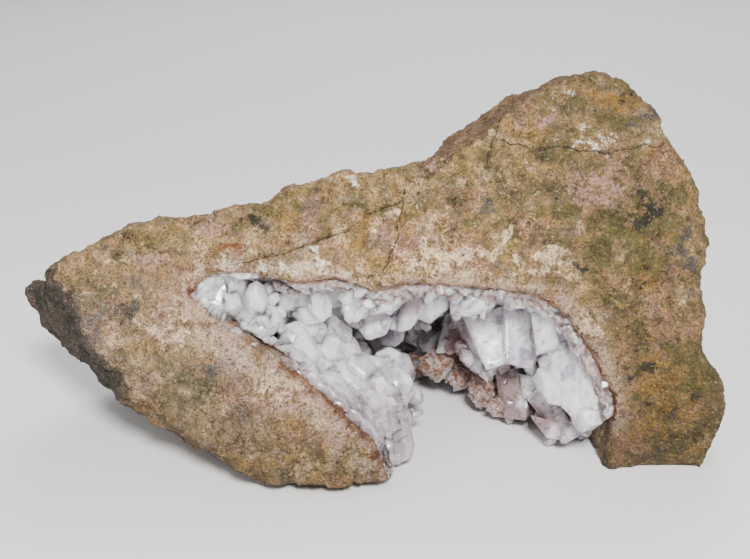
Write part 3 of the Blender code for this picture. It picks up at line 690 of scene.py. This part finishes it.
# %% Clots of brown stone between the crystals
CLOTS = [  # centre (u, v, w) and radii
    ((12.4, 19.2, 30.0), (3.4, 2.4, 3.0)), ((15.8, 17.2, 30.0), (2.2, 2.0, 2.4)),
    ((20.4, 14.8, 26.0), (2.4, 3.4, 3.0)), ((7.4, 18.2, 40.0), (3.0, 1.5, 3.0)),
    ((23.5, 12.0, 22.0), (2.0, 1.6, 2.0)),
]
CLOT_LUMPS = (2.2, 0.9)
CLOT_GRAINS = (0.9, 0.35)

crystals_end = len(small.verts)
for centre, radii in CLOTS:
    start = len(small.verts)
    bmesh.ops.create_icosphere(small, subdivisions=5, radius=1.0, matrix=Matrix.Diagonal((*radii, 1.0)))
    small.verts.ensure_lookup_table()
    middle_place = in_room(*centre)
    for vert in small.verts[start:]:
        outward = vert.co.normalized()
        vert.co += middle_place
        vert.co += outward * (lumps(vert.co, *CLOT_LUMPS) + grains(vert.co, *CLOT_GRAINS))
print("clots:", len(CLOTS))

# %% The small crystals' attributes
small_places = places_of(small)
is_clot = np.arange(len(small_places)) >= crystals_end
small_u, small_v, small_w = on_slab(small_places)
small_attributes = {
    "rim": wall_distance(small_places, rock_wall), "clear": smoothstep(4.0, 12.0, small_u) * 0.6,
    "deep": cavern(small_u, small_w), "lip": np.zeros(len(small_u)), "blush": spots(small_places, BLUSHES),
    "rusty": spots(small_places, RUSTY), "clot": is_clot * 1.0, "low": low_down(small_u, small_v)}
small_crystals = finish_piece("small_crystals", small, small_attributes)
small_crystals.data.set_sharp_from_angle(angle=SPAR_SHARP_TURN)

# %% [markdown]
# ## Materials as arithmetic
#
# A procedural colour is a sum: a bit of grain, times a stain, minus a crack. Blender's node editor would
# need dozens of boxes for it, so a small class wraps a node's output and lets Python's own +, - and * build
# the nodes.


# %% A field is a value that changes over the surface
class Field:
    def __init__(self, paint, socket):
        self.paint = paint
        self.socket = socket

    def math(self, operation, *others):
        sockets = {0: self} | {i + 1: other for i, other in enumerate(others)}
        return self.paint.node("Math", {"operation": operation}, sockets)

    def __add__(self, other):
        return self.math("ADD", other)

    def __sub__(self, other):
        return self.math("SUBTRACT", other)

    def __rsub__(self, other):
        return self.paint.node("Math", {"operation": "SUBTRACT"}, {0: other, 1: self})

    def __mul__(self, other):
        return self.math("MULTIPLY", other)

    __radd__ = __add__
    __rmul__ = __mul__

    def size(self):
        return self.math("ABSOLUTE")

    def between(self, low, high):
        """0 below low, 1 above high and smooth in between; the other way round if low is above high."""
        start, end, ends = (low, high, (0.0, 1.0)) if low < high else (high, low, (1.0, 0.0))
        settings = {"interpolation_type": "SMOOTHSTEP"}
        sockets = {"Value": self, "From Min": start, "From Max": end, "To Min": ends[0], "To Max": ends[1]}
        return self.paint.node("MapRange", settings, sockets)


# %% A paint is one material with its nodes
def srgb(red, green, blue):
    """A colour as it is picked on a screen, from 0 to 255, in the linear values that nodes use."""
    return (*[((c / 255 + 0.055) / 1.055) ** 2.4 for c in (red, green, blue)], 1.0)


print("middle grey in a node's values:", round(srgb(128, 128, 128)[0], 3))


class Paint:
    def __init__(self, name):
        self.material = bpy.data.materials.new(name)
        self.material.use_nodes = True
        self.nodes = self.material.node_tree.nodes
        self.nodes.clear()
        self.object_place = self.node("TexCoord", out="Object")

    def node(self, kind, settings=None, sockets=None, out=0):
        """Any node: its settings are set first, and then the values or the links of its sockets."""
        made = self.nodes.new("ShaderNode" + kind)
        for key, value in (settings or {}).items():
            setattr(made, key, value)
        for key, value in (sockets or {}).items():
            if isinstance(value, Field):
                self.material.node_tree.links.new(value.socket, made.inputs[key])
            else:
                made.inputs[key].default_value = value
        return Field(self, made.outputs[out])

    def attribute(self, name):
        return self.node("Attribute", {"attribute_name": name}, out="Fac")

    def place(self, shift):
        """Object coordinates, moved so that two patterns of one kind differ."""
        sockets = {0: self.object_place, 1: (shift * 0.37, shift * 0.71, shift * 0.53)}
        return self.node("VectorMath", {"operation": "ADD"}, sockets)

    def cloud(self, size, detail=3.0, shift=0.0, roughness=0.55, stretch=None):
        """Soft noise from 0 to 1, with swells of that size in millimetres."""
        place = self.place(shift)
        if stretch:
            place = self.node("VectorMath", {"operation": "MULTIPLY"}, {0: place, 1: stretch})
        sockets = {"Vector": place, "Scale": 1 / (size * MM), "Detail": detail, "Roughness": roughness}
        return self.node("TexNoise", {}, sockets)

    def cells(self, size, shift=0.0, out="Distance", feature="F1"):
        sockets = {"Vector": self.place(shift), "Scale": 1 / (size * MM)}
        return self.node("TexVoronoi", {"feature": feature}, sockets, out)

    def blend(self, share, one, other, mode="MIX"):
        """One colour where share is 0, the other where it is 1."""
        settings = {"data_type": "RGBA", "blend_type": mode, "clamp_factor": True}
        return self.node("Mix", settings, {0: share, 6: one, 7: other}, out=2)

    def grey(self, value):
        return self.node("CombineColor", {}, {0: value, 1: value, 2: value})

    def bump(self, height, distance, strength=1.0, below=None):
        sockets = {"Height": height, "Distance": distance * MM, "Strength": strength}
        if below:
            sockets["Normal"] = below
        return self.node("Bump", {}, sockets, out="Normal")

    def surface(self, shader):
        output = self.nodes.new("ShaderNodeOutputMaterial")
        self.material.node_tree.links.new(shader.socket, output.inputs["Surface"])
        return self.material


def dress(piece, paint_made):
    piece.data.materials.clear()
    piece.data.materials.append(paint_made)
    print(piece.name, "wears", paint_made.name, "with", len(paint_made.node_tree.nodes), "nodes")


# %% [markdown]
# ## The colours of weathered stone
#
# The ground colour is tan and salmon, in clouds of several sizes. Stains lie over it: olive and dark films
# that grow in patches, ochre where iron has rusted, and slate where the fresh stone shows. Their edges are
# broken up by noise, so that no patch has a smooth outline. Around the hollow the stone is bleached, pink
# and white, and right where the crystals begin runs a thin seam, rusty where iron came out of the water. A
# painted image would be another way, but these fields cost no image and wrap round every edge without a
# join.

# %% The rock's ground colours
TAN = srgb(140, 112, 72)
SALMON = srgb(148, 110, 82)
CREAM = srgb(194, 168, 128)
FILM = srgb(84, 76, 42)
MAUVE = srgb(92, 78, 72)
OCHRE = srgb(146, 112, 50)
BROWN = srgb(66, 50, 34)

stone = Paint("weathered_stone")
broad = stone.cloud(9.0, shift=1.0)
middle = stone.cloud(3.6, detail=5.0, shift=2.0)
small_cloud = stone.cloud(1.3, detail=5.0, shift=3.0, roughness=0.65)
grit = stone.cloud(0.5, detail=4.0, shift=4.0, roughness=0.75)
other = stone.cloud(2.6, detail=6.0, shift=5.0, roughness=0.65)
right_side = stone.attribute("right_side")
seam_far = stone.attribute("seam")
frayed = (grit - 0.5) * 0.45 + (small_cloud - 0.5) * 0.6

colour = stone.blend((broad + frayed * 0.4).between(0.48, 0.62), TAN, SALMON)
GROUND = [  # tint, size of its clouds in mm, where they start to show, and how strongly
    (CREAM, 4.2, 0.50, 0.8), (MAUVE, 3.6, 0.52, 0.7), (OCHRE, 3.4, 0.53, 0.7), (FILM, 4.0, 0.50, 0.85),
    (BROWN, 1.8, 0.55, 0.65), (CREAM, 1.4, 0.58, 0.6),
]
for number, (tint, size, start, strength) in enumerate(GROUND):
    cloud = stone.cloud(size, detail=5.0, shift=20.0 + number, roughness=0.6) + frayed
    if tint is FILM:
        cloud = cloud + right_side * 0.08 - seam_far.between(12.0, 2.0) * 0.10
    if tint is CREAM:
        cloud = cloud - right_side * 0.05
    soft_edge = 0.16 if tint is CREAM else 0.11
    colour = stone.blend(cloud.between(start, start + soft_edge) * strength, colour, tint)
print("ground colours:", 2 + len(GROUND))

# %% Its stains, and two painted glints
STAIN_COLOURS = {
    "ochre": srgb(134, 100, 42), "pink": srgb(156, 118, 104), "cream": srgb(206, 178, 144),
    "olive": srgb(80, 74, 36), "slate": srgb(76, 68, 66), "dark": srgb(34, 33, 28),
    "rust": srgb(108, 52, 24), "white": srgb(214, 204, 184),
}
STAIN_SHARE = 0.62
WHITE_SHARE = 0.56  # less, because white shows most
ragged = (middle - 0.5) * 1.2 + (small_cloud - 0.5) * 1.8 + (grit - 0.5) * 0.9
for number, (kind, tint) in enumerate(STAIN_COLOURS.items()):
    own = stone.cloud(1.8, detail=5.0, shift=10.0 + number, roughness=0.65)
    share = stone.attribute(kind) * (WHITE_SHARE if kind == "white" else STAIN_SHARE)
    mask = (share + ragged * 0.6 + (own - 0.5) * 1.2).between(0.38, 0.62)
    gate = stone.attribute(kind).between(0.02, 0.3)
    colour = stone.blend(mask * gate * 0.88, colour, tint)
print("stains:", sorted(STAIN_COLOURS))

# %% Its two receding facets, stained and painted with shade, its seam, and its cracks, painted with shade
SEAM_BROWN = srgb(98, 52, 28)
SEAM_PINK = srgb(146, 106, 98)
BLEACHED = srgb(200, 176, 150)
CRACK_DARK = srgb(40, 30, 22)
GREY_GREEN = srgb(40, 42, 32)
PURPLE_GREY = srgb(66, 52, 48)
DUSKY_PINK = srgb(92, 62, 44)
DULL_GREY = srgb(110, 102, 98)

colour = stone.blend(stone.attribute("left_side") * 0.22, colour, DULL_GREY)
# Stain and painted shade: the left end facet, turned from the lamp, is painted dark grey-green and
# purple-grey.
facet_tone = stone.blend(other.between(0.42, 0.58), GREY_GREEN, PURPLE_GREY)
facet_stain_and_shade = stone.attribute("end_facet") * (small_cloud + 0.35).between(0.5, 0.75) * 0.92
colour = stone.blend(facet_stain_and_shade, colour, facet_tone)
# Colour and painted shade: the peak's left-facing shoulder, turned from the lamp, is painted a dark dusky
# pink.
colour = stone.blend(stone.attribute("shoulder") * 0.6, colour, DUSKY_PINK)
seam_distance = seam_far + (small_cloud - 0.5) * 3.0 + (other - 0.5) * 4.0
bleach = seam_distance.between(4.8, 1.2) * (middle + frayed).between(0.40, 0.56)
colour = stone.blend(bleach * 0.6, colour, BLEACHED)
blotch = seam_distance.between(3.0, 1.0) * (other + frayed).between(0.48, 0.58)
colour = stone.blend(blotch * 0.6, colour, SEAM_PINK)
seam_line = seam_distance.between(1.5, 0.7) * (broad + frayed).between(0.40, 0.50)
rusty = 0.15 + stone.attribute("rusty").between(0.1, 0.7) * 0.75
colour = stone.blend(seam_line * rusty, colour, SEAM_BROWN)
# Painted shade: the cracks are painted dark along their grooves.
crack_line = (stone.attribute("crack").size() + (grit - 0.5) * 0.3).between(0.16, 0.04)
crack_break = (other + (small_cloud - 0.5) * 0.6).between(0.32, 0.46)
colour = stone.blend(crack_line * crack_break * stone.attribute("crack_gate") * 0.85, colour, CRACK_DARK)

# %% Its grain, and painted shade in the pits, to the right and low down
dust = stone.cloud(0.3, detail=2.0, shift=9.0)
tone = 0.60 + grit.between(0.35, 0.65) * 0.72 + (small_cloud - 0.5) * 1.6 + (dust - 0.5) * 1.6
tone = tone + (other - 0.5) * 1.3
# Painted shade: the tone is darker in the pits of the relief.
tone = tone - stone.attribute("pits").between(0.0, 0.9) * 0.3
# Painted shade: the tone is darker towards the right and low down, where the light falls off.
tone = tone * (1.06 - right_side * 0.28) * (1.0 - stone.attribute("low") * 0.4)
colour = stone.blend(1.0, colour, stone.grey(tone), mode="MULTIPLY")
dark_dots = stone.cloud(0.5, detail=3.0, shift=6.0, roughness=0.7).between(0.56, 0.63)
colour = stone.blend(dark_dots * other.between(0.42, 0.54) * 0.6, colour, CRACK_DARK)
pale_dots = stone.cloud(0.5, detail=3.0, shift=7.0, roughness=0.7).between(0.58, 0.66)
colour = stone.blend(pale_dots * middle.between(0.44, 0.56) * 0.45, colour, CREAM)

# %% Its gloss and finest relief
glint = stone.cells(0.8, shift=7.0, out="Color")
sparkle = stone.node("SeparateColor", {}, {0: glint}).between(0.86, 0.94) * seam_distance.between(12.0, 4.0)
roughness = 0.85 - sparkle * 0.55 - (small_cloud - 0.5) * 0.2
fine_relief = grit * 0.7 + small_cloud * 0.5 + stone.cells(0.5, shift=8.0) * 0.5
shader = stone.node("BsdfPrincipled", {}, {
    "Base Color": colour, "Roughness": roughness, "Normal": stone.bump(fine_relief, 0.6, 1.0),
    "Specular IOR Level": 0.35, "IOR": 1.5})
dress(weathered_rock, stone.surface(shader))

# %% [markdown]
# ## Cloudy calcite
#
# Calcite is clear when it grows slowly and milky when it grows fast, because then it traps tiny drops of
# water. Light goes into it and comes back soft, so the material lets part of the light through and scatters
# the rest under the surface. Two shaders share the crust: a milky one, and a clearer one for the large
# plates.

# %% The crystals' colours
MILK = srgb(252, 246, 251)
SMOKE = srgb(164, 158, 170)
BLUSH = srgb(132, 94, 90)
ROOT_BROWN = srgb(128, 84, 56)
CLOT_BROWN = srgb(126, 76, 40)
LIP_PINK = srgb(188, 168, 162)
DEPTH_SHADE_GREY = srgb(150, 150, 152)
LILAC_SHADE = srgb(148, 134, 143)
CALCITE_IOR = 1.58

calcite = Paint("milky_calcite")
haze = calcite.cloud(3.4, detail=4.0, shift=1.0, stretch=(1.5, 1.0, 0.45))
veins = calcite.cloud(1.3, detail=5.0, shift=2.0)
sand = calcite.cloud(0.5, detail=4.0, shift=4.0, roughness=0.7)
planes = calcite.node("SeparateColor", {}, {0: calcite.cells(2.4, shift=5.0, out="Color")})
cloudy = (haze - 0.5) * 1.2 + (planes - 0.5) * 0.35 + (veins - 0.5) * 0.4 + 0.5
body = calcite.blend(cloudy.between(0.35, 0.85), MILK, SMOKE)
streaks = calcite.cloud(0.9, detail=3.0, shift=9.0, stretch=(1.8, 1.0, 0.3)).between(0.55, 0.68)
body = calcite.blend(streaks * 0.5, body, MILK)
# Painted glints, which also stand for fracture lines: thin bright lines along the edges of the cells.
fractures_and_glints = calcite.cells(2.4, shift=5.0, feature="DISTANCE_TO_EDGE").between(0.05, 0.0)
body = calcite.blend(fractures_and_glints * veins.between(0.45, 0.6) * 0.6, body, MILK)
blush = (calcite.attribute("blush") + (haze - 0.5) * 0.8).between(0.15, 0.8)
body = calcite.blend(blush * 0.88, body, BLUSH)
lip_tone = calcite.blend((veins + (sand - 0.5) * 1.2).between(0.42, 0.56), LIP_PINK, ROOT_BROWN)
lip_share = (calcite.attribute("lip") + (haze - 0.5) * 2.0 + (veins - 0.5)).between(0.35, 0.75)
body = calcite.blend(lip_share * calcite.attribute("lip").between(0.0, 0.3) * 0.85, body, lip_tone)
root = (calcite.attribute("rim") + (veins - 0.5) * 2.5 + (sand - 0.5) * 1.5).between(0.9, 0.3)
rusty = 0.15 + calcite.attribute("rusty").between(0.1, 0.7) * 0.65
body = calcite.blend(root * rusty, body, ROOT_BROWN)
clot = calcite.attribute("clot")
clot_tone = calcite.blend((veins * 0.5 + sand * 0.5).between(0.44, 0.56), CLOT_BROWN, LIP_PINK)
body = calcite.blend(clot, body, clot_tone)
# Painted shade: crystals deep in the middle of the hollow are darkened towards grey.
depth_shade = (calcite.attribute("deep") + (haze - 0.5) * 8.0).between(10.0, 24.0)
body = calcite.blend(depth_shade * 0.2, body, DEPTH_SHADE_GREY, mode="MULTIPLY")
# Painted shade: crystals near the open bottom, most of all on the left, turn a darker lilac grey.
shade = (calcite.attribute("low") + (haze - 0.5) * 0.8 + (planes - 0.5) * 0.3).between(0.2, 1.0)
body = calcite.blend(shade * 0.75, body, LILAC_SHADE)
print("fields in the crystal colour:", len(calcite.nodes))

# %% Their gloss, and the two shaders
stony = clot + calcite.attribute("lip") * 0.7
steps = calcite.cells(0.9, shift=3.0) * 0.4 + veins * 0.6 + sand * stony * 6.0
blunt = calcite.node("Bevel", {"samples": 6}, {"Radius": 0.15 * MM})
crystal_normal = calcite.bump(steps, 0.06, 0.6, below=blunt)
gloss = 0.22 + veins.between(0.4, 0.7) * 0.2 + stony * 0.5
COMMON = {
    "Base Color": body, "Roughness": gloss, "IOR": CALCITE_IOR, "Normal": crystal_normal,
    "Coat Weight": 0.4, "Coat Roughness": 0.22, "Subsurface Weight": 1.0,
    "Subsurface Radius": (1.0, 0.98, 1.05), "Subsurface Scale": 5.0 * MM}
WALK = {"subsurface_method": "RANDOM_WALK"}
milky = calcite.node("BsdfPrincipled", WALK, COMMON | {"Transmission Weight": 0.2})
glassy = calcite.node("BsdfPrincipled", WALK, COMMON | {"Transmission Weight": 0.32})
clear_share = calcite.attribute("clear") * haze.between(0.3, 0.6)
calcite_finish = calcite.surface(calcite.node("MixShader", {}, {0: clear_share, 1: milky, 2: glassy}))
dress(crystal_crust, calcite_finish)
dress(small_crystals, calcite_finish)

# %% [markdown]
# ## The studio
#
# A pale table, one soft lamp in front and a little to the right, a weaker one on the left, one behind, and
# a camera that looks 20 degrees down, straight at the front face.


# %% Table, lamps and camera
def place_light(name, position, target, size, power):
    lamp = bpy.data.lights.new(name, "AREA")
    lamp.shape = "DISK"
    lamp.size = size
    lamp.energy = power
    holder = bpy.data.objects.new(name, lamp)
    holder.location = position
    holder.rotation_euler = (Vector(target) - Vector(position)).to_track_quat("-Z", "Y").to_euler()
    bpy.context.scene.collection.objects.link(holder)


TABLE_SIZE = 3.0
table = bmesh.new()
bmesh.ops.create_grid(table, x_segments=1, y_segments=1, size=TABLE_SIZE / 2)
table_top = piece_from("table_top", table)
table_top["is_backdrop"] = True
paper = Paint("pale_table")
fibre = paper.cloud(1.2, shift=1.0)
paper_colour = paper.blend(fibre, srgb(226, 225, 222), srgb(232, 231, 229))
paper_shader = paper.node("BsdfPrincipled", {}, {"Base Color": paper_colour, "Roughness": 0.7})
dress(table_top, paper.surface(paper_shader))

TARGET = (0.0, 0.0, 0.03)
SKY = (0.9, 0.93, 1.0, 1.0)
SKY_STRENGTH = 0.38
place_light("key", (0.06, -0.40, 0.34), TARGET, size=0.12, power=5.4)
place_light("fill", (-0.55, -0.25, 0.45), TARGET, size=0.5, power=1.5)
place_light("back", (0.1, 0.6, 0.6), TARGET, size=0.6, power=5.0)

world = bpy.data.worlds.new("studio")
world.use_nodes = True
background = world.node_tree.nodes["Background"]
background.inputs["Color"].default_value = SKY
background.inputs["Strength"].default_value = SKY_STRENGTH
bpy.context.scene.world = world

CAMERA_LENS = 60.0
camera_data = bpy.data.cameras.new("camera")
camera_data.lens = CAMERA_LENS
camera_data.sensor_width = 36.0
camera_data.clip_start = 0.01
camera = bpy.data.objects.new("camera", camera_data)
camera.location = in_room(0.0, VIEWPOINT_HEIGHT, -VIEWPOINT_DISTANCE) * MM
camera.rotation_euler = (math.pi / 2 - LEAN, 0.0, 0.0)
bpy.context.scene.collection.objects.link(camera)
bpy.context.scene.camera = camera
print("camera at", [round(x, 4) for x in camera.location])

# %% [markdown]
# ## The two boxes
#
# The box of the imported specimen and the box of the dressed one are printed, in millimetres.

# %% The two boxes in millimetres
visual_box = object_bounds()
for title, box in (("packed", cad_box), ("visual", visual_box)):
    print(title, "box in mm:", [[round(x / MM, 2) for x in corner] for corner in box])
